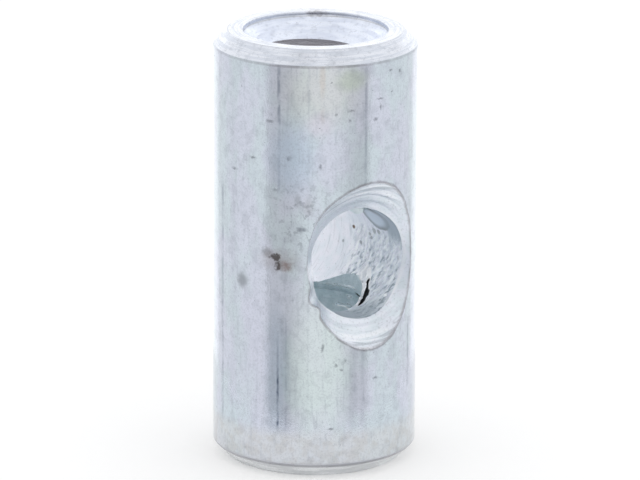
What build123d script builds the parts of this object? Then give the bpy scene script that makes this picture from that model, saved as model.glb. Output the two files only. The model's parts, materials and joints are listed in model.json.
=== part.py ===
from build123d import *
import os
from math import radians, tan

# Cross dowel nut: a turned steel pin, drilled and tapped down its axis from the top
# end and crossed near mid-length by a plain bore with a countersunk mouth.
#
# Frame: the origin is the centre of the bottom face, +Z runs up the axis of the pin,
# and the countersunk mouth of the cross bore faces -Y.  All sizes are millimetres.

# Pin
body_diameter = 14.0
body_length = 30.0
end_chamfer = 1.0

# Lead-in at the top end: a shallow straight lip, then a cone down to the axial bore
lead_in_diameter = 9.9
lead_in_lip_depth = 0.3
lead_in_angle = 100.0

# Axial bore, at the crest diameter of its M8 thread, with the cone that the drill leaves
tapped_bore_diameter = 6.65
tapped_bore_run_past = 1.0
drill_point_angle = 118.0

# Cross bore, clear through from front to back
cross_bore_diameter = 7.5
cross_bore_height = 14.7

# Countersink at the front mouth, cut a little up and to the left of the bore
countersink_diameter = 11.9
countersink_angle = 100.0
countersink_shift_x = -0.3
countersink_shift_z = 0.25

# Broken edge at the back mouth
exit_edge_break = 0.3

# How far a cutting shape runs on past the surface of the pin
cut_overrun = 1.0

body_radius = body_diameter / 2
lead_in_radius = lead_in_diameter / 2
tapped_bore_radius = tapped_bore_diameter / 2
cross_bore_radius = cross_bore_diameter / 2
countersink_radius = countersink_diameter / 2
lead_in_lip_end = body_length - lead_in_lip_depth
lead_in_slope = tan(radians(lead_in_angle / 2))
lead_in_end = lead_in_lip_end - (lead_in_radius - tapped_bore_radius) / lead_in_slope
tapped_bore_end = cross_bore_height - cross_bore_radius - tapped_bore_run_past
drill_point_depth = tapped_bore_radius / tan(radians(drill_point_angle / 2))
countersink_height = cross_bore_height + countersink_shift_z
countersink_slope = tan(radians(countersink_angle / 2))

# Half of the section, right of the axis, turned about Z
section = [
    (0, 0),
    (body_radius - end_chamfer, 0),
    (body_radius, end_chamfer),
    (body_radius, body_length - end_chamfer),
    (body_radius - end_chamfer, body_length),
    (lead_in_radius, body_length),
    (lead_in_radius, lead_in_lip_end),
    (tapped_bore_radius, lead_in_end),
    (tapped_bore_radius, tapped_bore_end),
    (0, tapped_bore_end - drill_point_depth),
]

# Half of the countersink's cone, as points (y, z), from beyond the front to its tip.
# Its radius is the named one where it meets the front of the pin.
cone_start = -body_radius - cut_overrun
cone_start_radius = countersink_radius + cut_overrun * countersink_slope
cone_tip = countersink_radius / countersink_slope - body_radius
countersink_section = [
    (cone_start, countersink_height),
    (cone_start, countersink_height + cone_start_radius),
    (cone_tip, countersink_height),
]
countersink_axis = Axis((countersink_shift_x, 0, countersink_height), (0, 1, 0))

with BuildPart() as nut:
    with BuildSketch(Plane.XZ):
        with BuildLine():
            Polyline(*section, close=True)
        make_face()
    revolve(axis=Axis.Z)

    # Cross bore, drilled through along Y
    with BuildSketch(Plane.XZ):
        with Locations((0, cross_bore_height)):
            Circle(cross_bore_radius)
    extrude(amount=body_radius + cut_overrun, both=True, mode=Mode.SUBTRACT)

    # Its back mouth is the edge that lies farthest along Y
    back_mouth = nut.edges().sort_by(Axis.Y)[-1]
    chamfer(back_mouth, length=exit_edge_break)

    # Countersink at the front mouth, as a cone turned about its own axis
    with BuildSketch(Plane.YZ.offset(countersink_shift_x)):
        with BuildLine():
            Polyline(*countersink_section, close=True)
        make_face()
    revolve(axis=countersink_axis, mode=Mode.SUBTRACT)

nut.part.label = "dowel_nut"
os.makedirs("parts", exist_ok=True)
export_step(nut.part, "parts/dowel_nut.step")
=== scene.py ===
import json
import math

import bmesh
import bpy
import numpy as np
from mathutils import Matrix, Vector


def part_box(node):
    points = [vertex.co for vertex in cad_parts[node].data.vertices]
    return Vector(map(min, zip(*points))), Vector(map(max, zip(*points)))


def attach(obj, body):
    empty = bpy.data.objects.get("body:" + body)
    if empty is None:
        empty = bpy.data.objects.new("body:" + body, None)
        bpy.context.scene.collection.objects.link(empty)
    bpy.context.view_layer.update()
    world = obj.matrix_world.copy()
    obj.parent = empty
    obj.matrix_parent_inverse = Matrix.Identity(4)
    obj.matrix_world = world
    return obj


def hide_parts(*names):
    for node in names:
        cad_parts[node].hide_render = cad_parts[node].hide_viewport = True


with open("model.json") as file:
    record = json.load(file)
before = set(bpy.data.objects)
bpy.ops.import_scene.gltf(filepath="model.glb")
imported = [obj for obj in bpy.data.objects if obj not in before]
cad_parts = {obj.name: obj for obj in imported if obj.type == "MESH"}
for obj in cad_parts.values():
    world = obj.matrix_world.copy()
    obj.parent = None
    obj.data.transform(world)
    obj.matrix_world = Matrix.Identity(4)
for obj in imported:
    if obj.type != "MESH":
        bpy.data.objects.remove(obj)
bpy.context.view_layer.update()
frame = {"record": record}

# The dressed cross dowel nut: one closed mesh in place of the node dowel_nut, with its M8
# thread, its tool marks, its burrs and a zinc plate finish.
#
# Lengths are millimetres, and MM turns them into metres.  Angles round the pin are degrees
# from +X towards +Y.  Angles round the cross bore are degrees from +X towards +Z.
MM = 0.001
mounts = {mount["name"]: mount for mount in frame["record"]["mounts"]}
low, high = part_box("dowel_nut")

# Pin
BODY_RADIUS = (high.x - low.x) / 2 / MM
BODY_LENGTH = (high.z - low.z) / MM
END_CHAMFER = 1.0
EDGE_ROUND = 0.09
# How uneven the drawn bar is: in long waves, and finely
BAR_WAVES, BAR_RIPPLE = 0.004, 0.0025
# Lead-in at the top end: a straight lip and a cone
LEAD_IN_RADIUS = 4.95
LEAD_IN_LIP = 0.3
LEAD_IN_SLOPE = math.tan(math.radians(50))
# Cross bore, its countersink with its shift along X and Z, and its broken back edge
CROSS_RADIUS = mounts["cross_bore"]["dims"]["r_mm"]
CROSS_HEIGHT = mounts["cross_bore"]["pos_m"][2] / MM
COUNTERSINK_RADIUS = 5.95
COUNTERSINK_SLOPE = math.tan(math.radians(50))
COUNTERSINK_SHIFT = (-0.3, 0.25)
EXIT_EDGE_BREAK = 0.3
# Axial bore and its M8 thread
TAP_RADIUS = mounts["screw_hole"]["dims"]["r_mm"]
TAP_TOP = BODY_LENGTH - LEAD_IN_LIP - (LEAD_IN_RADIUS - TAP_RADIUS) / LEAD_IN_SLOPE
TAP_RUN_PAST = 1.0
TAP_END = CROSS_HEIGHT - CROSS_RADIUS - TAP_RUN_PAST
DRILL_POINT_ANGLE = 118.0
THREAD_PITCH = 1.25
THREAD_ROOT_RADIUS = 4.0
THREAD_FLANK_SLOPE = math.tan(math.radians(30))
# The angles round the pin where the thread's two stretches start, and how far from the cross
# bore's axis they are wiped out, above and below
LOWER_THREAD_START, UPPER_THREAD_START = 214, 5
WIPED_ABOVE, WIPED_BELOW = 1.9, 3.0
# How uneven the axial bore is: in its wall, at its torn mouth, and at the thread's root
WALL_RIPPLE, MOUTH_RIPPLE, ROOT_RIPPLE = 0.015, 0.05, 0.012

# The lip of metal that the cross drill left in the axial bore: angle round the pin, spread
# and thickness
BURR_ANGLE, BURR_SPREAD, BURR_THICKNESS = 28, 80, 0.62
# The tear in the cross bore's floor: the angles round the pin of its two ends, its radius,
# and how far it opens towards the axis and away from it
TEAR_FROM, TEAR_TO, TEAR_RADIUS = -70, -35, 3.66
TEAR_INWARD, TEAR_OUTWARD = 0.13, 0.2
# The angle round the pin where the painted shade in the tear and the painted highlight on its
# sliver are strongest
TEAR_MIDDLE = -46
# Where the countersink's rim strays from its circle: angle round the bore, spread, and by
# how much.  It is flatter on top and fuller on the upper left, and a flat tab with a sharp
# lower corner stands out on the lower left.
RIM_BULGES = [
    (100, 45, -0.24),
    (135, 40, 0.26),
    (190, 14, -0.14),
    (206, 10, 0.3),
    (215, 8, -0.34),
]
# Where the bore's front edge lies deeper, or less deep, than a clean countersink would leave
# it: angle round the bore, spread, and by how much
MOUTH_SHIFTS = [
    (118, 50, -0.06),
    (184, 24, -0.34),
    (222, 20, 0.3),
    (-20, 65, 0.42),
]
# Where the drill wore the cross bore wide, below: angle round the bore, spread, how much
BORE_WEAR = (280, 65, 0.2)
# Depths of the countersink's chatter rings, the bore's feed marks and its torn metal
CHATTER_DEPTH = 0.03
FEED_DEPTH = 0.006
TORN_DEPTH = 0.056
# How far the cross drill and the countersink run on past the surface
OVERRUN = 1.2

# Camera: where it stands, seen from the pin
VIEW_AZIMUTH = math.radians(-34.5)
VIEW_ELEVATION = math.radians(15.76)
VIEW_DISTANCE = 385.0
VIEW_HEIGHT = 15.04
VIEW_ASIDE = 0.36
VIEW_ROLL = math.radians(0.28)
VIEW_LENS = 315.0

# The material index of each finish
PLATE, TURNED, LEAD_IN, THREAD, DRILLED, SUNK = range(6)


# ---------------------------------------------------------------- mesh helpers

def smooth(t):
    """0 to 1 with level ends, for t held between 0 and 1."""
    t = np.clip(t, 0, 1)
    return t * t * (3 - 2 * t)


def value_noise(u, v, cells_u, cells_v, seed):
    """Smooth random values from -1 to 1 over u, which wraps round at 1, and v from 0 to 1."""
    grid = np.random.default_rng(seed).uniform(-1, 1, (cells_u, cells_v + 1))
    x = (u % 1) * cells_u
    y = np.clip(v, 0, 1) * cells_v
    i = np.floor(x).astype(int) % cells_u
    j = np.minimum(np.floor(y).astype(int), cells_v - 1)
    fade_x = smooth(x - np.floor(x))
    fade_y = smooth(y - j)
    after = (i + 1) % cells_u
    first = grid[i, j] * (1 - fade_x) + grid[after, j] * fade_x
    second = grid[i, j + 1] * (1 - fade_x) + grid[after, j + 1] * fade_x
    return first * (1 - fade_y) + second * fade_y


def bump_at(angle, centre, spread):
    """1 at the centre angle, falling smoothly to 0 at spread to each side, in degrees."""
    away = np.abs((angle - centre + 180) % 360 - 180)
    return smooth(1 - away / spread)


def bumps(angle, places):
    """The sum of the bumps in places, each an angle, a spread and a height."""
    return sum(much * bump_at(angle, centre, spread) for centre, spread, much in places)


def full_circle(segments):
    """Evenly spaced angles in radians, once round."""
    return np.linspace(0, 2 * math.pi, segments, endpoint=False)


def around_pin(radius, angle, height):
    """Points at a radius, an angle round the pin and a height."""
    return np.stack([radius * np.cos(angle), radius * np.sin(angle), height], -1)


def rows_between(start, end, count):
    """count rows of values, from those of start to those of end."""
    return start + (end - start) * np.linspace(0, 1, count)[:, None]


def ring_solid(name, rings, start, end, finishes):
    """A closed mesh through rings of points, each end drawn to one point.
    finishes gives the material index of each band, the two ends included."""
    rows, count = rings.shape[:2]
    points = np.concatenate([rings.reshape(-1, 3), [start, end]]) * MM
    start_index, end_index = rows * count, rows * count + 1
    here = np.arange(count)
    after = (here + 1) % count
    pairs = list(zip(here.tolist(), after.tolist()))
    faces = [(start_index, b, a) for a, b in pairs]
    for row in range(rows - 1):
        base, above = row * count, (row + 1) * count
        band = np.stack([base + here, base + after, above + after, above + here], 1)
        faces += band.tolist()
    last = (rows - 1) * count
    faces += [(last + a, last + b, end_index) for a, b in pairs]
    mesh = bpy.data.meshes.new(name)
    mesh.from_pydata(points.tolist(), [], faces)
    for material in FINISHES:
        mesh.materials.append(material)
    indices = np.repeat(finishes, count).astype(np.int32)
    mesh.polygons.foreach_set("material_index", indices)
    shape = bmesh.new()
    shape.from_mesh(mesh)
    bmesh.ops.recalc_face_normals(shape, faces=shape.faces)
    shape.to_mesh(mesh)
    shape.free()
    piece = bpy.data.objects.new(name, mesh)
    bpy.context.scene.collection.objects.link(piece)
    return piece


def bar_along(name, angle, corners):
    """A closed bar that runs along angle, with corners (radius, height) to its section."""
    rings = np.stack([around_pin(radius, angle, height) for radius, height in corners], 1)
    start, end = rings[0].mean(0), rings[-1].mean(0)
    return ring_solid(name, rings, start, end, [THREAD] * (len(angle) + 1))


def cut(piece, cutter):
    """Takes cutter out of piece, and removes cutter."""
    step = piece.modifiers.new(cutter.name, "BOOLEAN")
    step.operation = "DIFFERENCE"
    step.solver = "MANIFOLD"
    step.object = cutter
    bpy.context.view_layer.update()
    depsgraph = bpy.context.evaluated_depsgraph_get()
    made = bpy.data.meshes.new_from_object(piece.evaluated_get(depsgraph))
    piece.modifiers.remove(step)
    piece.data = made
    bpy.data.objects.remove(cutter)


def drop_slivers(piece, size=0.001):
    """Turns piece into triangles, without the shortest edges that the cuts leave, so that
    each triangle has an area."""
    shape = bmesh.new()
    shape.from_mesh(piece.data)
    bmesh.ops.dissolve_degenerate(shape, dist=size * MM, edges=shape.edges)
    bmesh.ops.triangulate(shape, faces=shape.faces)
    shape.to_mesh(piece.data)
    shape.free()


# ---------------------------------------------------------------- the solid

def rounded_corner(before, corner, after, radius, steps=4):
    """Points that round one corner of a profile, cutting in by radius along each side."""
    before, corner, after = (np.array(point, float) for point in (before, corner, after))
    first = corner + (before - corner) / np.linalg.norm(before - corner) * radius
    last = corner + (after - corner) / np.linalg.norm(after - corner) * radius
    t = np.linspace(0, 1, steps)[:, None]
    return (first * (1 - t) ** 2 + corner * 2 * t * (1 - t) + last * t ** 2).tolist()


def pin_profile():
    """Points (r, z) from near the bottom centre up the outside and down into the lead-in,
    with the finish of the stretch that leads to each."""
    first_ring, run_in = 0.6, 0.6
    inside = TAP_RADIUS - run_in
    inside_end = TAP_TOP - (TAP_RADIUS - inside) / LEAD_IN_SLOPE
    # Each corner, with the finish and the number of steps of the stretch that leads to it
    stretches = [
        ((BODY_RADIUS - END_CHAMFER, 0.0), TURNED, 9),
        ((BODY_RADIUS, END_CHAMFER), TURNED, 10),
        ((BODY_RADIUS, BODY_LENGTH - END_CHAMFER), PLATE, 84),
        ((BODY_RADIUS - END_CHAMFER, BODY_LENGTH), TURNED, 10),
        ((LEAD_IN_RADIUS, BODY_LENGTH), TURNED, 7),
        ((LEAD_IN_RADIUS, BODY_LENGTH - LEAD_IN_LIP), TURNED, 3),
        ((inside, inside_end), LEAD_IN, 26),
    ]
    before = (first_ring, 0.0)
    points = [before]
    finishes = [TURNED]
    for index, (corner, finish, steps) in enumerate(stretches):
        if index + 1 < len(stretches):
            bend = rounded_corner(before, corner, stretches[index + 1][0], EDGE_ROUND)
        else:
            bend = [corner]
        start = np.array(points[-1])
        way = np.array(bend[0]) - start
        straight = [tuple(start + way * step / steps) for step in range(1, steps + 1)]
        added = straight + [tuple(point) for point in bend[1:]]
        points += added
        finishes += [finish] * len(added)
        before = corner
    return np.array(points), finishes


def make_pin(segments=288):
    """The turned pin with its lead-in, before its bores."""
    profile, finishes = pin_profile()
    angle = full_circle(segments)
    turn = angle[None, :] / (2 * math.pi)
    radius = np.repeat(profile[:, :1], segments, 1)
    height = np.repeat(profile[:, 1:], segments, 1)
    share = height / BODY_LENGTH
    # The bar is only ever lower than its true size
    uneven = BAR_WAVES * (value_noise(turn, share, 7, 3, 11) - 1)
    uneven += BAR_RIPPLE * (value_noise(turn, share, 60, 40, 12) - 1)
    outside = radius > LEAD_IN_RADIUS + 0.2
    rings = around_pin(radius + uneven * outside, angle, height)
    end = (0, 0, profile[-1, 1])
    return ring_solid("nut", rings, (0, 0, 0), end, finishes + [LEAD_IN])


def burr(degrees, height):
    """How thick the burr in the axial bore is, just below the cross bore's floor."""
    rise = smooth((height - TAP_END - 0.4) / 1.0) * (height < CROSS_HEIGHT)
    return BURR_THICKNESS * bump_at(degrees, BURR_ANGLE, BURR_SPREAD) * rise


def make_drill(segments=192):
    """What the tap drill takes out: a round hole with a cone at its end."""
    cone = TAP_RADIUS / math.tan(math.radians(DRILL_POINT_ANGLE / 2))
    top = TAP_TOP + 1
    heights = np.concatenate([np.linspace(TAP_END, TAP_TOP, 90), [top]])[:, None]
    angle = full_circle(segments)
    turn = angle[None, :] / (2 * math.pi)
    share = (heights - TAP_END) / (TAP_TOP - TAP_END)
    radius = TAP_RADIUS + WALL_RIPPLE * value_noise(turn, share, 40, 60, 21)
    # The mouth in the lead-in is a little torn
    near_mouth = smooth((heights - TAP_TOP + 0.5) / 0.4)
    radius = radius + MOUTH_RIPPLE * value_noise(turn, share, 26, 90, 22) * near_mouth
    radius = radius - burr(np.degrees(angle)[None, :], heights)
    rings = around_pin(radius, angle, heights + 0 * radius)
    bands = [THREAD] * (len(heights) + 1)
    return ring_solid("drill", rings, (0, 0, TAP_END - cone), (0, 0, top), bands)


def make_thread(name, bottom, top, start_degrees, steps_per_turn=96):
    """One stretch of the helical groove that the tap cuts, as a long ridge."""
    turns = (top - bottom) / THREAD_PITCH
    along = np.linspace(0, turns, int(turns * steps_per_turn))
    degrees = 360 * along + start_degrees
    height = bottom + THREAD_PITCH * along
    depth = (THREAD_ROOT_RADIUS - TAP_RADIUS) * smooth(along / 1.2 + 0.12)
    # The cross bore was drilled after the tap had passed, and wiped the turns next to it
    away = np.abs(height - CROSS_HEIGHT)
    above = smooth((away - WIPED_ABOVE) / 0.5) * (height > CROSS_HEIGHT)
    below = smooth((away - WIPED_BELOW) / 0.5) * (height < CROSS_HEIGHT)
    # Where it is wiped out, the ridge stays just short of the bore's wall
    wall = TAP_RADIUS - burr(degrees, height)
    outer = wall - 0.02 + depth * (above + below)
    outer = outer + ROOT_RIPPLE * value_noise(along / turns, 0 * along, 260, 1, 31)
    inner = wall - 0.2
    flat = THREAD_PITCH / 16
    wide = flat + (outer - inner) * THREAD_FLANK_SLOPE
    corners = [
        (inner, height - wide),
        (outer, height - flat),
        (outer, height + flat),
        (inner, height + wide),
    ]
    return bar_along(name, np.radians(degrees), corners)


def make_tear(steps=60):
    """The gap behind a curled sliver of metal, in the cross bore's floor by the axial bore."""
    along = np.linspace(0, 1, steps)
    angle = np.radians(TEAR_FROM + (TEAR_TO - TEAR_FROM) * along)
    swell = np.sqrt(np.sin(math.pi * (0.04 + 0.92 * along)))
    ragged_in = 1 + 0.5 * value_noise(along, 0 * along, 11, 1, 61)
    ragged_out = 1 + 0.6 * value_noise(along, 0 * along, 9, 1, 62)
    inner = TEAR_RADIUS - TEAR_INWARD * swell * ragged_in
    outer = TEAR_RADIUS + TEAR_OUTWARD * swell * ragged_out
    floor = CROSS_HEIGHT - np.sqrt(CROSS_RADIUS ** 2 - (TEAR_RADIUS * np.cos(angle)) ** 2)
    below, above = floor - 0.5, floor + 0.4
    corners = [(inner, below), (outer, below), (outer, above), (inner, above)]
    return bar_along("tear", angle, corners)


def sink_relief(degrees, cone):
    """Chatter rings of the countersink, strongest above and below."""
    turn = degrees[None, :] / 360
    strength = 0.2 + bump_at(degrees, 75, 60) + bump_at(degrees, 268, 60)
    share = (cone - CROSS_RADIUS) / (COUNTERSINK_RADIUS + 2 - CROSS_RADIUS)
    return CHATTER_DEPTH * strength * value_noise(turn, share, 7, 24, 41)


def wall_relief(degrees, y, mouth):
    """Feed marks all over the cross bore, and torn metal on its right and lower right side."""
    turn = degrees[None, :] / 360
    share = (y + BODY_RADIUS) / (2 * BODY_RADIUS)
    feed = FEED_DEPTH * value_noise(turn, share, 9, 80, 51)
    torn = smooth(1.3 * bump_at(degrees, -36, 66)) * smooth((6.5 - (y - mouth)) / 3)
    coarse = value_noise(turn, share, 52, 66, 52)
    slanted = value_noise(turn + 0.3 * share, share, 104, 80, 53)
    away_from_mouth = smooth((y - mouth) / 0.35)
    return (feed + TORN_DEPTH * torn * (coarse + 0.8 * slanted)) * away_from_mouth


def make_cross_cutter(segments=304, outer_rows=8, sink_rows=30, wall_rows=130, exit_rows=5):
    """What the cross drill and the countersink take out, from beyond the front to beyond
    the back.  The front of the pin faces -Y."""
    angle = full_circle(segments)
    degrees = np.degrees(angle)
    direction = np.stack([np.cos(angle), np.sin(angle)], -1)
    shift = np.array(COUNTERSINK_SHIFT)
    across = direction @ shift
    wide = COUNTERSINK_RADIUS + bumps(degrees, RIM_BULGES)

    def cone_at(y):
        return wide - (y + BODY_RADIUS) * COUNTERSINK_SLOPE

    def reach_at(y):
        return across + np.sqrt(cone_at(y) ** 2 - shift @ shift + across ** 2)

    bore = CROSS_RADIUS + bumps(degrees, [BORE_WEAR])
    to_axis = np.linalg.norm(bore[:, None] * direction - shift, axis=1)
    clean_mouth = -BODY_RADIUS + (wide - to_axis) / COUNTERSINK_SLOPE
    mouth = -BODY_RADIUS + (COUNTERSINK_RADIUS - to_axis) / COUNTERSINK_SLOPE
    mouth = mouth + bumps(degrees, MOUTH_SHIFTS)
    # Where the cone meets the outside of the pin, found by steps that settle
    edge = np.full(segments, -BODY_RADIUS)
    for _ in range(20):
        side = np.minimum(reach_at(edge) * np.cos(angle), BODY_RADIUS - 0.5)
        edge = (edge - np.sqrt(BODY_RADIUS ** 2 - side ** 2)) / 2
    back = np.sqrt(BODY_RADIUS ** 2 - (bore * np.cos(angle)) ** 2)

    front_end = -BODY_RADIUS - OVERRUN
    before_edge = edge - 0.1
    y_outer = rows_between(front_end, before_edge, outer_rows)[:-1]
    y_sink = np.concatenate([y_outer, rows_between(before_edge, mouth, sink_rows)])
    # Past the edge, the cone is squeezed or stretched, so that it ends at the mouth
    squeezed = edge + (y_sink - edge) * (clean_mouth - edge) / (mouth - edge)
    y_cone = np.where(y_sink < edge, y_sink, squeezed)
    r_sink = reach_at(y_cone) + sink_relief(degrees, cone_at(y_cone))

    exit_start = back - EXIT_EDGE_BREAK
    y_wall = rows_between(mouth, exit_start, wall_rows)[1:]
    r_wall = bore + wall_relief(degrees, y_wall, mouth)
    y_exit = rows_between(exit_start, exit_start + OVERRUN, exit_rows)[1:]
    r_exit = rows_between(bore, bore + OVERRUN, exit_rows)[1:]

    y = np.concatenate([y_sink, y_wall, y_exit])
    r = np.concatenate([r_sink, r_wall, r_exit])
    rings = np.stack([r * np.cos(angle), y, CROSS_HEIGHT + r * np.sin(angle)], -1)
    bands = [SUNK] * len(y_sink) + [DRILLED] * len(y_wall) + [SUNK] * exit_rows
    start, end = (0, front_end, CROSS_HEIGHT), (0, BODY_RADIUS + 2, CROSS_HEIGHT)
    return ring_solid("cross_cutter", rings, start, end, bands)


def make_nut():
    """The whole nut, cut out of the pin as it is in the workshop."""
    nut = make_pin()
    cut(nut, make_drill())
    lower = (TAP_END + 0.2, CROSS_HEIGHT - 1.8)
    upper = (CROSS_HEIGHT + WIPED_ABOVE, TAP_TOP + THREAD_PITCH)
    cut(nut, make_thread("lower_thread", *lower, LOWER_THREAD_START))
    cut(nut, make_thread("upper_thread", *upper, UPPER_THREAD_START))
    cut(nut, make_cross_cutter())
    cut(nut, make_tear())
    drop_slivers(nut)
    nut.data.shade_smooth()
    nut.data.set_sharp_from_angle(angle=math.radians(28))
    return nut


# ---------------------------------------------------------------- node helpers

class Graph:
    """A short way to lay out a material's or the world's nodes."""

    def __init__(self, tree):
        self.tree = tree
        tree.nodes.clear()

    def put(self, socket, value):
        """Links value to an input, or sets it there."""
        if isinstance(value, bpy.types.NodeSocket):
            self.tree.links.new(value, socket)
        else:
            socket.default_value = value

    def node(self, kind, **inputs):
        """A node of that kind.  A name in capitals sets a property, i0, i1 and so on set an
        input by its number, and any other name sets the input of that name."""
        made = self.tree.nodes.new("ShaderNode" + kind)
        for key, value in inputs.items():
            if key.isupper():
                setattr(made, key.lower(), value)
            elif key[0] == "i" and key[1:].isdigit():
                self.put(made.inputs[int(key[1:])], value)
            else:
                self.put(made.inputs[key.replace("_", " ")], value)
        return made

    def math(self, operation, a, b=0.0, c=0.0):
        return self.node("Math", OPERATION=operation, i0=a, i1=b, i2=c).outputs[0]

    def times(self, first, *others):
        """The product of all the values."""
        for other in others:
            first = self.math("MULTIPLY", first, other)
        return first

    def most(self, first, *others):
        """The largest of the values."""
        for other in others:
            first = self.math("MAXIMUM", first, other)
        return first

    def plus(self, a, b):
        return self.math("ADD", a, b)

    def minus(self, a, b):
        return self.math("SUBTRACT", a, b)

    def apart(self, a, b):
        """How far apart two values are."""
        return self.math("ABSOLUTE", self.minus(a, b))

    def ramp(self, value, low_end, high_end, from_value=0.0, to_value=1.0):
        """value carried smoothly from one range to another, and held at its ends."""
        ends = {"i1": low_end, "i2": high_end, "i3": from_value, "i4": to_value}
        made = self.node("MapRange", INTERPOLATION_TYPE="SMOOTHSTEP", i0=value, **ends)
        return made.outputs[0]

    def vector(self, operation, *values):
        """A sum, difference or product of vectors."""
        inputs = {f"i{number}": value for number, value in enumerate(values)}
        return self.node("VectorMath", OPERATION=operation, **inputs).outputs[0]

    def measure(self, operation, *values):
        """A length, distance or dot product of vectors."""
        inputs = {f"i{number}": value for number, value in enumerate(values)}
        return self.node("VectorMath", OPERATION=operation, **inputs).outputs["Value"]

    def combine(self, x, y, z):
        return self.node("CombineXYZ", i0=x, i1=y, i2=z).outputs[0]

    def parts(self, at):
        """The X, Y and Z of a vector, by name."""
        return self.node("SeparateXYZ", i0=at).outputs

    def mix(self, share, first, second):
        """The colour first, with a share of the colour second."""
        made = self.node("Mix", DATA_TYPE="RGBA")
        for number, value in ((0, share), (6, first), (7, second)):
            self.put(made.inputs[number], value)
        return made.outputs[2]


def rgb(red, green, blue):
    return (red, green, blue, 1.0)


def dimmed(colour, share):
    return rgb(*(share * part for part in colour))


def start_material(name):
    """A new material, its graph, and the place on the pin in millimetres."""
    material = bpy.data.materials.new(name)
    material.use_nodes = True
    g = Graph(material.node_tree)
    place = g.node("TexCoord").outputs["Object"]
    at = g.vector("MULTIPLY", place, (1 / MM, 1 / MM, 1 / MM))
    return material, g, at


def finish_material(g, colour, roughness, relief, depth, metal=1.0):
    """The metal's shader, with a bump of the given depth in millimetres."""
    bump = g.node("Bump", Strength=0.5, Distance=depth * MM, Height=relief)
    look = {"Base_Color": colour, "Metallic": metal, "Roughness": roughness}
    shader = g.node("BsdfPrincipled", Normal=bump.outputs[0], **look)
    g.node("OutputMaterial", Surface=shader.outputs[0])


def noise(g, at, scale, detail, stretch=(1.0, 1.0, 1.0)):
    drawn = g.vector("MULTIPLY", at, stretch)
    return g.node("TexNoise", Vector=drawn, Scale=scale, Detail=detail).outputs[0]


def wobble(g, at, scale, amount):
    """The place shifted unevenly, so that a mark laid out on it gets a ragged outline."""
    random = g.node("TexNoise", Vector=at, Scale=scale, Detail=3.0).outputs["Color"]
    centred = g.vector("SUBTRACT", random, (0.5, 0.5, 0.5))
    shift = g.vector("MULTIPLY", centred, (amount, amount, amount))
    return g.vector("ADD", at, shift)


def on_side(degrees, height):
    """The point on the outside of the pin at an angle round it and a height."""
    turn = math.radians(degrees)
    return BODY_RADIUS * math.cos(turn), BODY_RADIUS * math.sin(turn), height


def from_cross_axis(g, at):
    """The place as seen from the middle of the cross bore."""
    return g.vector("SUBTRACT", at, (0.0, 0.0, CROSS_HEIGHT))


def spot(g, at, centre, wide, tall, edge=0.4):
    """1 inside an oval of half-width wide and half-height tall round centre, fading over
    its edge."""
    scale = (1 / wide, 1 / wide, 1 / tall)
    offset = tuple(-place * factor for place, factor in zip(centre, scale))
    away = g.measure("LENGTH", g.vector("MULTIPLY_ADD", at, scale, offset))
    return g.ramp(away, 1 - edge, 1 + edge, 1, 0)


def line(g, value, centre, half_width):
    """1 where value is at centre, fading to 0 at half_width to each side."""
    return g.ramp(g.apart(value, centre), half_width * 0.25, half_width, 1, 0)


def polar(g, at, along=("X", "Y")):
    """Radius and angle in degrees round Z, or round Y for along=("X", "Z")."""
    parts = g.parts(at)
    first, second = parts[along[0]], parts[along[1]]
    radius = g.math("SQRT", g.plus(g.times(first, first), g.times(second, second)))
    angle = g.times(g.math("ARCTAN2", second, first), 180 / math.pi)
    return radius, angle


def tool_rings(g, at, scale, length):
    """Noise drawn out round the pin's axis, as a lathe tool leaves it."""
    parts = g.parts(at)
    radius, _ = polar(g, at)
    fine = g.minus(g.times(radius, 1.7), parts["Z"])
    cosine = g.math("DIVIDE", parts["X"], radius)
    sine = g.math("DIVIDE", parts["Y"], radius)
    drawn = g.combine(g.times(cosine, length), g.times(sine, length), fine)
    return g.node("TexNoise", Vector=drawn, Scale=scale, Detail=4.0).outputs[0]


# ---------------------------------------------------------------- zinc plate

# Stains on the plate: angle, height, half-width and half-height in mm, colour, strength
STAINS = [
    (-121, 27.4, 2.4, 2.3, (0.64, 0.66, 0.62), 0.55),
    (-104, 28.0, 1.0, 0.7, (0.52, 0.60, 0.50), 0.6),
    (-138, 22.6, 1.5, 2.2, (0.5, 0.62, 0.75), 0.55),
    (-122, 25.0, 0.8, 0.8, (0.68, 0.62, 0.74), 0.45),
    (-122, 8.4, 2.0, 5.0, (0.67, 0.76, 0.74), 0.6),
    (-146.5, 7.4, 0.75, 4.2, (0.4, 0.5, 0.6), 0.5),
    (-161, 8.5, 1.3, 4.5, (0.60, 0.61, 0.72), 0.4),
    (-123.8, 1.9, 0.85, 0.8, (0.58, 0.64, 0.78), 0.6),
    (-120.5, 28.1, 0.2, 1.1, (0.6, 0.54, 0.49), 0.45),
    (-120.5, 25.6, 0.14, 0.5, (0.48, 0.46, 0.45), 0.35),
    (-169, 13.6, 0.46, 0.5, (0.25, 0.27, 0.30), 0.75),
    (-132, 17.7, 0.3, 0.16, (0.16, 0.18, 0.22), 0.7),
    (-134, 19.7, 0.22, 0.45, (0.30, 0.33, 0.36), 0.45),
    (-152, 15.9, 0.4, 0.3, (0.22, 0.23, 0.25), 0.6),
    (-128, 19.3, 0.3, 0.6, (0.42, 0.42, 0.46), 0.4),
]
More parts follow.
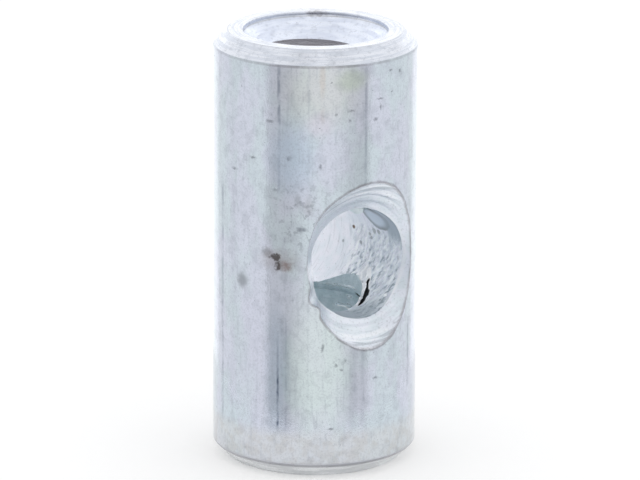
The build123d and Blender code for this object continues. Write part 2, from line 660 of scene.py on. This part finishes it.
# Pits in the plate: angle, height, half-width and half-height in mm
PITS = [
    (-86, 26.5, 0.26, 0.07),
    (-85.5, 25.9, 0.07, 0.2),
    (-104, 25.9, 0.22, 0.08),
    (-113, 25.7, 0.09, 0.08),
    (-105, 25.2, 0.09, 0.1),
    (-89, 25.1, 0.14, 0.12),
    (-150, 25.1, 0.24, 0.12),
    (-161, 22.4, 0.2, 0.09),
    (-139.5, 22.6, 0.17, 0.14),
    (-176, 21.3, 0.2, 0.1),
    (-121.5, 22.1, 0.1, 0.2),
    (-78, 28.3, 0.14, 0.07),
    (-70.5, 28.1, 0.12, 0.1),
    (-147, 20.4, 0.16, 0.09),
    (-112, 8.1, 0.1, 0.1),
    (-109, 7.8, 0.1, 0.1),
    (-107, 8.4, 0.08, 0.14),
    (-88, 6.9, 0.2, 0.08),
    (-115, 3.6, 0.2, 0.07),
    (-120, 9.4, 0.08, 0.3),
]
# Draw lines: angle, lowest and highest height in mm, half-width in degrees, and strength
DRAW_LINES = [
    (-145.3, 3.4, 9.8, 1.0, 1.0),
    (-145.0, 25.0, 28.9, 1.5, 0.5),
    (-144.8, 20.0, 25.0, 1.3, 0.22),
    (171.7, 3.2, 20.0, 2.0, 0.36),
    (-95.2, 19.5, 28.9, 1.3, 0.28),
    (-58.2, 5.5, 10.0, 2.0, 0.42),
    (-140.5, 3.6, 12.0, 0.9, 0.16),
    (-148.0, 3.3, 11.5, 4.0, 0.08),
    (-141.0, 3.3, 11.5, 5.5, 0.17),
    (-101.8, 3.3, 10.0, 3.2, 0.15),
    (-96.4, 3.3, 10.0, 1.7, 0.17),
    (-97.0, 19.0, 28.9, 3.6, 0.07),
    (-128.0, 4.0, 28.0, 1.0, 0.08),
    (-113.0, 20.0, 28.5, 1.0, 0.07),
]


def clouded_zinc(g, at, cloud, fine, ragged):
    """The plate's colour: violet and green by turns, clouded, stained, and a painted
    reflection of the floor at the foot."""
    violet, green = rgb(0.63, 0.662, 0.76), rgb(0.602, 0.68, 0.733)
    tint = noise(g, at, 0.42, 4.0, (1.0, 1.0, 0.5))
    colour = g.mix(g.ramp(tint, 0.42, 0.58), violet, green)
    colour = g.mix(g.ramp(cloud, 0.42, 0.66, 0.0, 0.3), colour, rgb(0.47, 0.51, 0.58))
    for degrees, height, wide, tall, stain, strength in STAINS:
        stained = spot(g, ragged, on_side(degrees, height), wide, tall, 0.6)
        colour = g.mix(g.times(stained, strength), colour, rgb(*stain))
    # Painted reflection of the floor: the plate turns neutral near the foot
    floor_reflection = g.mix(g.ramp(cloud, 0.4, 0.6), rgb(0.66, 0.68, 0.7), rgb(0.6, 0.6, 0.59))
    floor_reflected = g.ramp(g.parts(at)["Z"], 2.6, 3.8, 0.7, 0)
    colour = g.mix(floor_reflected, colour, floor_reflection)
    colour = g.mix(g.ramp(fine, 0.45, 0.75, 0.0, 0.35), colour, rgb(0.36, 0.38, 0.42))
    drawn = noise(g, at, 5.0, 3.0, (1.0, 1.0, 0.12))
    colour = g.mix(g.ramp(drawn, 0.53, 0.7, 0.0, 0.26), colour, rgb(0.38, 0.42, 0.47))
    grime = noise(g, at, 1.1, 8.0)
    return g.mix(g.ramp(grime, 0.55, 0.63, 0.0, 0.12), colour, rgb(0.22, 0.24, 0.28))


def add_draw_lines(g, at, height, turn, colour):
    """Dark, broken lines down the bar."""
    broken = g.ramp(noise(g, at, 1.4, 5.0, (1.0, 1.0, 0.6)), 0.4, 0.62, 0.25, 1.0)
    for degrees, low_end, high_end, wide, strength in DRAW_LINES:
        starts = g.ramp(height, low_end - 0.3, low_end + 0.3)
        ends = g.ramp(height, high_end - 0.8, high_end + 0.8, 1, 0)
        share = g.times(line(g, turn, degrees, wide), starts, ends, broken, strength)
        colour = g.mix(share, colour, rgb(0.09, 0.12, 0.18))
    return colour


def add_scuffs(g, at, colour):
    """Scuffs all over, and more of them beside the countersink."""
    beside = spot(g, at, on_side(-131, 18.6), 1.7, 2.4, 0.7)
    scuffs = g.ramp(noise(g, at, 2.6, 5.0), 0.56, 0.64)
    share = g.times(scuffs, g.math("MULTIPLY_ADD", beside, 0.3, 0.1))
    return g.mix(share, colour, rgb(0.2, 0.22, 0.25))


def pitted(g, at, ragged):
    """1 in the pits of the plate."""
    pits = 0.0
    for degrees, height, wide, tall in PITS:
        pits = g.most(pits, spot(g, ragged, on_side(degrees, height), wide, tall, 0.75))
    specks = g.ramp(noise(g, at, 3.4, 2.0, (1.0, 1.0, 1.3)), 0.735, 0.77)
    return g.most(pits, g.times(specks, 0.8))


def sink_distance(g, at):
    """How far outside the countersink's cone a point lies, in millimetres."""
    moved = from_cross_axis(g, at)
    _, turn = polar(g, moved, ("X", "Z"))
    bulge = 0.0
    for degrees, spread, much in RIM_BULGES:
        centre = degrees if degrees < 180 else degrees - 360
        bulge = g.plus(bulge, g.ramp(g.apart(turn, centre), 0, spread, much, 0))
    shift = (COUNTERSINK_SHIFT[0], 0.0, COUNTERSINK_SHIFT[1])
    radius, _ = polar(g, g.vector("SUBTRACT", moved, shift), ("X", "Z"))
    depth = g.plus(g.parts(at)["Y"], BODY_RADIUS)
    cone = g.minus(g.plus(bulge, COUNTERSINK_RADIUS), g.times(depth, COUNTERSINK_SLOPE))
    return g.minus(radius, cone)


def add_edge_shade(g, at, height, turn, cloud, colour):
    """Painted shade: dark lines where the plate ends, at both chamfers and the countersink."""
    uneven = g.ramp(cloud, 0.3, 0.6, 0.45, 1.0)
    front = g.ramp(g.apart(turn, -122), 12, 60, 1.0, 0.45)
    top = g.times(line(g, height, BODY_LENGTH - END_CHAMFER - 0.02, 0.13), front)
    shaded_foot = g.times(line(g, height, END_CHAMFER, 0.2), 0.5)
    # The countersink's line is faint on the left, but for the corner of the tab
    _, mouth_turn = polar(g, from_cross_axis(g, at), ("X", "Z"))
    faint = g.ramp(g.apart(mouth_turn, -15), 142, 162, 1.0, 0.15)
    shaded_rim = g.times(line(g, sink_distance(g, wobble(g, at, 1.2, 0.16)), 0.0, 0.22), faint)
    # Painted shade along the top chamfer, the foot and the countersink's rim
    edges = g.most(g.times(top, 0.75), shaded_foot, shaded_rim)
    return g.mix(g.times(edges, uneven, 0.68), colour, rgb(0.23, 0.22, 0.24))


def add_rust(g, at, turn, colour):
    """A rust speck on the left of the countersink, with a redder tail and a dull halo.
    Returns how rusty the plate is, and its colour."""
    eaten = wobble(g, at, 3.0, 0.8)
    upper = spot(g, eaten, on_side(-146.4, 15.6), 0.4, 0.24)
    lower = spot(g, eaten, on_side(-145, 15.1), 0.27, 0.34)
    tail = spot(g, eaten, on_side(-140.8, 15.1), 0.36, 0.32, 0.8)
    rust = g.most(g.times(g.most(upper, lower), 0.9), g.times(tail, 0.75))
    halo = spot(g, wobble(g, at, 2.0, 1.1), on_side(-144.5, 15.4), 1.15, 0.6, 0.8)
    colour = g.mix(g.times(halo, 0.4), colour, rgb(0.33, 0.29, 0.29))
    redder = g.ramp(turn, -145, -142)
    brown = g.mix(redder, rgb(0.03, 0.02, 0.018), rgb(0.15, 0.09, 0.08))
    return rust, g.mix(rust, colour, brown)


def plate():
    """Zinc plate on the bar's outside: pale, clouded, lined, pitted and a little rusty, with
    painted shade along its edges and a painted reflection of the floor at its foot.
    """
    material, g, at = start_material("plate")
    cloud = noise(g, at, 1.5, 6.0)
    fine = noise(g, at, 8.0, 4.0)
    ragged = wobble(g, at, 4.0, 0.3)
    height = g.parts(at)["Z"]
    _, turn = polar(g, wobble(g, at, 2.0, 0.06))
    colour = clouded_zinc(g, at, cloud, fine, ragged)
    colour = add_draw_lines(g, at, height, turn, colour)
    colour = add_scuffs(g, at, colour)
    pits = pitted(g, at, ragged)
    colour = g.mix(g.times(pits, 0.5), colour, rgb(0.14, 0.15, 0.17))
    colour = add_edge_shade(g, at, height, turn, cloud, colour)
    rust, colour = add_rust(g, at, turn, colour)
    spoilt = g.most(rust, pits)
    gloss = g.most(g.ramp(cloud, 0.3, 0.7, 0.07, 0.13), g.times(spoilt, 0.6))
    relief = g.minus(g.times(fine, 0.5), spoilt)
    finish_material(g, colour, gloss, relief, 0.03, g.minus(1.0, rust))
    return material


# ---------------------------------------------------------------- turned and drilled metal

def turned(name, pale, shade, gloss):
    """Faces cut on the lathe, with fine rings round the axis and painted shade at the corners.
    """
    material, g, at = start_material(name)
    rings = tool_rings(g, at, 5.0, 0.5)
    cloud = noise(g, at, 1.6, 5.0)
    mottled = noise(g, at, 3.2, 5.0, (1.0, 1.0, 1.6))
    radius, _ = polar(g, at)
    height = g.parts(at)["Z"]
    ringed = g.ramp(rings, 0.4, 0.62)
    colour = g.mix(ringed, rgb(*pale), rgb(*shade))
    colour = g.mix(g.ramp(cloud, 0.5, 0.72, 0.0, 0.35), colour, dimmed(shade, 0.75))
    colour = g.mix(g.ramp(mottled, 0.54, 0.66, 0.0, 0.3), colour, dimmed(shade, 0.62))
    # Painted reflection of the floor: the foot's chamfer and end are painted neutral
    floor_reflection = g.mix(ringed, rgb(0.86, 0.87, 0.87), rgb(0.7, 0.71, 0.71))
    colour = g.mix(g.times(g.ramp(height, 1.2, 0.9), 0.8), colour, floor_reflection)
    soiled = spot(g, wobble(g, at, 3.0, 0.5), (2.84, 4.06, BODY_LENGTH - 0.14), 0.7, 0.2)
    colour = g.mix(g.times(soiled, 0.5), colour, rgb(0.18, 0.165, 0.17))
    # Painted shade: dark lines at the top face's rim, the foot's chamfer and the lead-in's lip
    at_top = g.ramp(height, 14, 16)
    shaded_rim = g.times(line(g, radius, BODY_RADIUS - END_CHAMFER, 0.06), at_top, 0.5)
    shaded_foot = g.times(line(g, height, END_CHAMFER - 0.05, 0.2), 1.3)
    inside = g.ramp(radius, LEAD_IN_RADIUS + 0.02, LEAD_IN_RADIUS + 0.06, 1, 0)
    shaded_lip = g.times(line(g, height, BODY_LENGTH - LEAD_IN_LIP, 0.05), 0.5, inside)
    colour = g.mix(g.times(g.most(shaded_rim, shaded_foot, shaded_lip), 0.55), colour, rgb(0.25, 0.25, 0.28))
    rough = g.ramp(rings, 0.35, 0.65, gloss * 0.8, gloss * 1.3)
    finish_material(g, colour, rough, rings, 0.03)
    return material


# Painted highlights on crests in the axial bore: angle, spread in degrees, height and
# half-thickness in mm
CREST_HIGHLIGHTS = [
    (6, 30, 11.2, 0.15),
    (40, 26, 11.14, 0.09),
    (9, 24, 9.75, 0.12),
    (9, 6, 10.32, 0.18),
]


def threaded():
    """The axial bore and its thread, matt and slightly green, with painted highlights on a few
    crests.
    """
    material, g, at = start_material("thread")
    cloud = noise(g, at, 1.8, 5.0)
    fine = noise(g, at, 9.0, 3.0)
    shifted = wobble(g, at, 3.0, 0.2)
    _, turn = polar(g, shifted)
    radius, _ = polar(g, at)
    height = g.parts(at)["Z"]
    colour = g.mix(g.ramp(cloud, 0.35, 0.65), rgb(0.86, 0.94, 0.97), rgb(0.72, 0.82, 0.85))
    colour = g.mix(g.ramp(height, 20, 27), colour, rgb(0.75, 0.74, 0.77))
    colour = g.mix(g.ramp(fine, 0.55, 0.75, 0.0, 0.35), colour, rgb(0.34, 0.38, 0.4))
    # Painted shade: the tear's walls are painted near black
    beyond_bore = g.ramp(radius, TAP_RADIUS + 0.1, TAP_RADIUS + 0.2)
    tear_shade = g.times(line(g, turn, TEAR_MIDDLE, 70), line(g, height, 12, 2.4), beyond_bore)
    colour = g.mix(g.ramp(tear_shade, 0.1, 0.3), colour, rgb(0.03, 0.034, 0.038))
    uneven_height = g.parts(shifted)["Z"]
    crest_highlight = 0.0
    for degrees, spread, place, tall in CREST_HIGHLIGHTS:
        crest = g.times(line(g, turn, degrees, spread), line(g, uneven_height, place, tall))
        crest_highlight = g.most(crest_highlight, crest)
    # Painted highlights: the crests are painted white
    colour = g.mix(crest_highlight, colour, rgb(1.0, 1.0, 1.0))
    rough = g.ramp(cloud, 0.3, 0.7, 0.34, 0.48)
    rough = g.times(rough, g.minus(1.0, g.times(crest_highlight, 0.6)))
    relief = g.plus(g.times(fine, 0.3), crest_highlight)
    finish_material(g, colour, rough, relief, 0.12, g.math("MULTIPLY_ADD", crest_highlight, 0.5, 0.45))
    return material


# Marks in the cross bore: distance round its wall from +X, place along Y, and size, in mm
SCARS = [
    (-0.75, 1.88, 0.12),
    (2.1, -0.25, 0.16),
    (0.9, -1.9, 0.22),
    (0.95, -2.5, 0.18),
    (0.5, -1.3, 0.14),
    (0.25, -1.45, 0.14),
    (-0.33, -0.2, 0.14),
]


def add_torn_metal(g, at, turn, parts, colour):
    """Torn metal on the right and lower right of the cross bore, with painted highlights and
    painted shade by turns, and a painted highlight on the sliver beside the tear.  Returns the
    torn metal's relief, and the colour."""
    below, above = g.ramp(turn, -100, -80), g.ramp(turn, 8, 28, 1, 0)
    torn = g.times(below, above, g.ramp(parts["Y"], 0.0, 1.6, 1, 0))
    lowered = g.times(parts["Z"], 0.7)
    slanted = g.math("MULTIPLY_ADD", parts["Y"], 1.5, lowered)
    drawn = g.combine(parts["X"], slanted, g.times(parts["Z"], 0.8))
    tears = g.node("TexNoise", Vector=drawn, Scale=2.2, Detail=6.0, Roughness=0.6).outputs[0]
    # Painted highlights on the torn metal
    bright = g.times(torn, g.ramp(tears, 0.5, 0.44))
    colour = g.mix(bright, colour, rgb(0.92, 0.97, 1.0))
    # Painted shade on the torn metal, stronger lower down the wall
    dark = g.times(torn, g.ramp(turn, -35, 0, 0.85, 0.4), g.ramp(tears, 0.52, 0.62))
    colour = g.mix(dark, colour, rgb(0.34, 0.41, 0.45))
    # Painted highlight on the sliver beside the tear
    radius, pin_turn = polar(g, at)
    near_tear = g.ramp(radius, TEAR_RADIUS + 0.3, TEAR_RADIUS + 0.1)
    on_floor = g.ramp(parts["Z"], -1.4, -1.8)
    sliver_highlight = g.times(near_tear, line(g, pin_turn, TEAR_MIDDLE, 34), on_floor)
    colour = g.mix(g.ramp(sliver_highlight, 0.0, 0.4), colour, rgb(0.96, 0.98, 1.0))
    return g.times(torn, g.ramp(tears, 0.4, 0.6, 1.0, 0.0)), colour


def add_painted_shade_patches(g, turn, y, flat, ragged, colour):
    """Painted shade: a dark stretch at the cross bore's foot, and up on the right a dark leaf
    just behind the mouth with a band below it; the leaf's pale core is a painted reflection."""
    # Painted shade low on the wall at the cross bore's foot
    low_shade = spot(g, ragged, (-5.9, 0.0, -4.5), 2.1, 1.1, 0.5)
    colour = g.mix(g.times(low_shade, 0.6), colour, rgb(0.36, 0.43, 0.46))
    # Painted shade: a dark band up on the right
    ends = g.times(g.ramp(turn, 4, 20), g.ramp(turn, 60, 70, 1, 0))
    band = g.times(ends, g.ramp(y, -3.9, -3.4, 1, 0))
    colour = g.mix(g.times(band, 0.75), colour, rgb(0.46, 0.54, 0.6))
    # Painted shade: a dark leaf just behind the mouth
    shade_leaf = spot(g, ragged, (2.35, 0.0, -2.9), 1.12, 1.5, 0.06)
    shade_leaf = g.times(shade_leaf, g.ramp(y, -4.1, -3.2, 0.3, 0.85))
    colour = g.mix(shade_leaf, colour, rgb(0.16, 0.2, 0.22))
    # Painted reflection: the leaf's pale core
    core_reflection = spot(g, flat, (2.2, 0.0, -2.75), 0.75, 1.05, 0.35)
    return g.mix(g.times(core_reflection, 0.92), colour, rgb(0.76, 0.84, 0.93))


def drilled():
    """The cross bore's bright wall, with feed marks, torn metal with painted highlights and
    shade, painted shade patches and a rust dot.
    """
    material, g, at = start_material("cross_bore")
    moved = from_cross_axis(g, at)
    _, turn = polar(g, moved, ("X", "Z"))
    parts = g.parts(moved)
    feed = noise(g, moved, 3.0, 4.0, (0.25, 2.2, 0.25))
    cloud = noise(g, at, 1.2, 5.0)
    fine = noise(g, at, 8.0, 4.0)
    colour = g.mix(g.ramp(cloud, 0.38, 0.62), rgb(0.9, 0.92, 1.0), rgb(0.85, 0.9, 0.97))
    colour = g.mix(g.ramp(feed, 0.5, 0.72, 0.0, 0.4), colour, rgb(0.48, 0.52, 0.57))
    colour = g.mix(g.ramp(fine, 0.62, 0.74, 0.0, 0.5), colour, rgb(0.3, 0.32, 0.35))
    torn_relief, colour = add_torn_metal(g, at, turn, parts, colour)

    # The wall unrolled: the distance round it from +X, and the place along Y
    around = g.times(turn, CROSS_RADIUS * math.pi / 180)
    flat = g.combine(around, 0.0, parts["Y"])
    ragged = wobble(g, flat, 1.5, 0.25)
    colour = add_painted_shade_patches(g, turn, parts["Y"], flat, ragged, colour)
    scars = 0.0
    for along, y, size in SCARS:
        scars = g.most(scars, spot(g, ragged, (along, 0.0, y), size, size))
    colour = g.mix(g.times(scars, 0.6), colour, rgb(0.15, 0.17, 0.19))
    rust = spot(g, ragged, (0.58, 0.0, 0.64), 0.13, 0.16)
    colour = g.mix(rust, colour, rgb(0.1, 0.05, 0.025))
    rough = g.ramp(cloud, 0.3, 0.7, 0.3, 0.42)
    finish_material(g, colour, rough, g.plus(feed, torn_relief), 0.04, 0.6)
    return material


def sunk():
    """The countersink's pale face, with chatter rings, a painted highlight along the mouth and
    a painted shade line at its rim.
    """
    material, g, at = start_material("countersink")
    across, turn = polar(g, from_cross_axis(g, at), ("X", "Z"))
    radius, _ = polar(g, at)
    around = g.times(turn, math.pi / 180)
    sine = g.math("SINE", around)
    drawn = g.combine(sine, g.math("COSINE", around), g.times(across, 3.5))
    rings = g.node("TexNoise", Vector=drawn, Scale=1.6, Detail=4.0).outputs[0]
    cloud = noise(g, at, 1.4, 5.0)
    fine = noise(g, at, 7.0, 4.0)
    colour = g.mix(g.ramp(cloud, 0.4, 0.6), rgb(0.79, 0.83, 0.91), rgb(0.73, 0.8, 0.86))
    # The rings show above and below, and near the rim
    above_or_below = g.ramp(g.math("ABSOLUTE", sine), 0.6, 0.92)
    strong = g.times(above_or_below, g.ramp(across, 4.3, 5.2, 0.25, 1))
    dark = g.times(strong, g.ramp(rings, 0.5, 0.6, 0.0, 0.6))
    bright = g.times(strong, g.ramp(rings, 0.5, 0.38, 0.0, 0.9))
    colour = g.mix(dark, colour, rgb(0.43, 0.47, 0.52))
    colour = g.mix(bright, colour, rgb(0.9, 0.93, 0.98))
    colour = g.mix(g.ramp(fine, 0.52, 0.72, 0.0, 0.4), colour, rgb(0.36, 0.38, 0.41))
    # Painted highlight: a pale line along the bore's mouth, stronger below
    highlight_below = g.ramp(sine, -0.9, 0.2, 0.7, 0.35)
    mouth = g.times(line(g, across, CROSS_RADIUS + 0.06, 0.14), highlight_below)
    colour = g.mix(mouth, colour, rgb(0.92, 0.94, 0.98))
    # Painted shade: a dark line at the countersink's rim
    shaded_rim = g.ramp(g.minus(BODY_RADIUS, radius), 0.02, 0.17, 1, 0)
    uneven = g.ramp(cloud, 0.3, 0.6, 0.45, 1.0)
    colour = g.mix(g.times(shaded_rim, uneven, 0.65), colour, rgb(0.25, 0.23, 0.25))
    rough = g.ramp(rings, 0.35, 0.65, 0.28, 0.38)
    finish_material(g, colour, rough, fine, 0.02, 0.6)
    return material


# ---------------------------------------------------------------- studio

# The floor's rings, and the round patch of it that the metal shows: how far its middle is
# set back from the pin, and where its soft edge starts and ends
FLOOR_RINGS = [25.0, 120.0, 600.0, 3000.0]
SHOWN_FLOOR_BACK = 4.0
SHOWN_FLOOR_EDGE = (21.0, 25.0)
# How much lighter the floor is than its paint, to the camera and in the metal
FLOOR_LIFT = 0.18

# The tent's darker panels, by the angle to the right of the camera in degrees: where each
# starts to darken, where it is darkest from and to, where it ends, and how much darker it is
PANELS = [
    (-60, -51, -34, 0, 0.26),
    (20, 46, 60, 65, 0.19),
    (60, 61, 62, 64, 0.1),
    (-112, -106, -104, -96, 0.06),
]
# How much brighter the tent is straight behind the pin
BACK_LIGHT = 0.25


def floor_material():
    """Pale paint, of which the metal shows only what lies near the pin's foot."""
    material = bpy.data.materials.new("pale_floor")
    material.use_nodes = True
    g = Graph(material.node_tree)
    rays = g.node("LightPath").outputs
    place = g.node("NewGeometry").outputs["Position"]
    back = SHOWN_FLOOR_BACK * MM
    middle = (-back * math.sin(VIEW_AZIMUTH), back * math.cos(VIEW_AZIMUTH), 0.0)
    edge_start, edge_end = (radius * MM for radius in SHOWN_FLOOR_EDGE)
    beyond = g.ramp(g.measure("DISTANCE", place, middle), edge_start, edge_end)
    matt = g.node("BsdfDiffuse", Color=rgb(0.88, 0.88, 0.88)).outputs[0]
    lift = g.node("Emission", Color=rgb(1, 1, 1), Strength=FLOOR_LIFT).outputs[0]
    lifted = g.node("AddShader", i0=matt, i1=lift).outputs[0]
    direct = g.most(rays["Is Camera Ray"], rays["Is Glossy Ray"])
    plain = g.node("MixShader", i0=direct, i1=matt, i2=lifted).outputs[0]
    clear = g.node("BsdfTransparent").outputs[0]
    hidden = g.times(rays["Is Glossy Ray"], beyond)
    shader = g.node("MixShader", i0=hidden, i1=plain, i2=clear)
    g.node("OutputMaterial", Surface=shader.outputs[0])
    return material


def make_floor(sides=96):
    """A plain pale floor, as a round sheet that reaches far out."""
    points = [(0, 0, 0)]
    for radius in FLOOR_RINGS:
        for angle in full_circle(sides):
            points.append((radius * math.cos(angle) * MM, radius * math.sin(angle) * MM, 0))
    faces = []
    for i in range(sides):
        j = (i + 1) % sides
        faces.append((0, 1 + i, 1 + j))
        for ring in range(len(FLOOR_RINGS) - 1):
            inner, outer = 1 + ring * sides, 1 + (ring + 1) * sides
            faces.append((inner + i, outer + i, outer + j, inner + j))
    mesh = bpy.data.meshes.new("floor")
    mesh.from_pydata(points, [], faces)
    mesh.materials.append(floor_material())
    floor = bpy.data.objects.new("floor", mesh)
    bpy.context.scene.collection.objects.link(floor)


def make_world():
    """A white tent: plain white to the camera, with darker panels that only the metal shows."""
    world = bpy.data.worlds.new("tent")
    bpy.context.scene.world = world
    world.use_nodes = True
    g = Graph(world.node_tree)
    towards = g.node("TexCoord").outputs["Generated"]
    right = (math.cos(VIEW_AZIMUTH), math.sin(VIEW_AZIMUTH), 0.0)
    front = (math.sin(VIEW_AZIMUTH), -math.cos(VIEW_AZIMUTH), 0.0)
    to_right = g.measure("DOT_PRODUCT", towards, right)
    to_front = g.measure("DOT_PRODUCT", towards, front)
    azimuth = g.times(g.math("ARCTAN2", to_right, to_front), 180 / math.pi)
    dark = 0.0
    for rise_from, rise_to, fall_from, fall_to, strength in PANELS:
        rise = g.ramp(azimuth, rise_from, rise_to)
        fall = g.ramp(azimuth, fall_from, fall_to, 1, 0)
        dark = g.plus(dark, g.times(rise, fall, strength))
    behind = g.ramp(g.math("ABSOLUTE", azimuth), 138, 146)
    low_down = g.ramp(g.parts(towards)["Z"], 0.55, 0.8, 1, 0)
    tent = g.plus(g.minus(1.0, dark), g.times(behind, low_down, BACK_LIGHT))
    glossy = g.node("Background", Color=rgb(1, 1, 1), Strength=tent).outputs[0]
    plain = g.node("Background", Color=rgb(1, 1, 1), Strength=1.0).outputs[0]
    in_metal = g.node("LightPath").outputs["Is Glossy Ray"]
    shader = g.node("MixShader", i0=in_metal, i1=plain, i2=glossy)
    g.node("OutputWorld", Surface=shader.outputs[0])
    world.cycles.sampling_method = "NONE"


def make_camera():
    """The photograph's view: from the left, a little above, with a long lens."""
    level = math.cos(VIEW_ELEVATION)
    right = Vector((math.cos(VIEW_AZIMUTH), math.sin(VIEW_AZIMUTH), 0))
    out = Vector((
        math.sin(VIEW_AZIMUTH) * level,
        -math.cos(VIEW_AZIMUTH) * level,
        math.sin(VIEW_ELEVATION),
    ))
    centre = Vector((0, 0, VIEW_HEIGHT * MM))
    target = centre + right * VIEW_ASIDE * MM
    data = bpy.data.cameras.new("camera")
    data.lens = VIEW_LENS
    data.sensor_width = 36.0
    data.clip_start = 0.01
    data.clip_end = 50.0
    camera = bpy.data.objects.new("camera", data)
    camera.location = centre + out * VIEW_DISTANCE * MM
    turn = (camera.location - target).to_track_quat("Z", "Y").to_matrix().to_4x4()
    roll = Matrix.Rotation(VIEW_ROLL, 4, "Z")
    camera.matrix_world = Matrix.Translation(camera.location) @ turn @ roll
    bpy.context.scene.collection.objects.link(camera)
    bpy.context.scene.camera = camera


make_camera()
make_world()
make_floor()
bpy.context.scene.view_settings.view_transform = "Standard"

# In the order of the material indices
FINISHES = [
    plate(),
    turned("turned_ends", (0.79, 0.82, 0.89), (0.67, 0.71, 0.79), 0.26),
    turned("lead_in", (0.83, 0.88, 0.99), (0.75, 0.8, 0.92), 0.34),
    threaded(),
    drilled(),
    sunk(),
]
nut = make_nut()
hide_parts("dowel_nut")
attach(nut, "root")
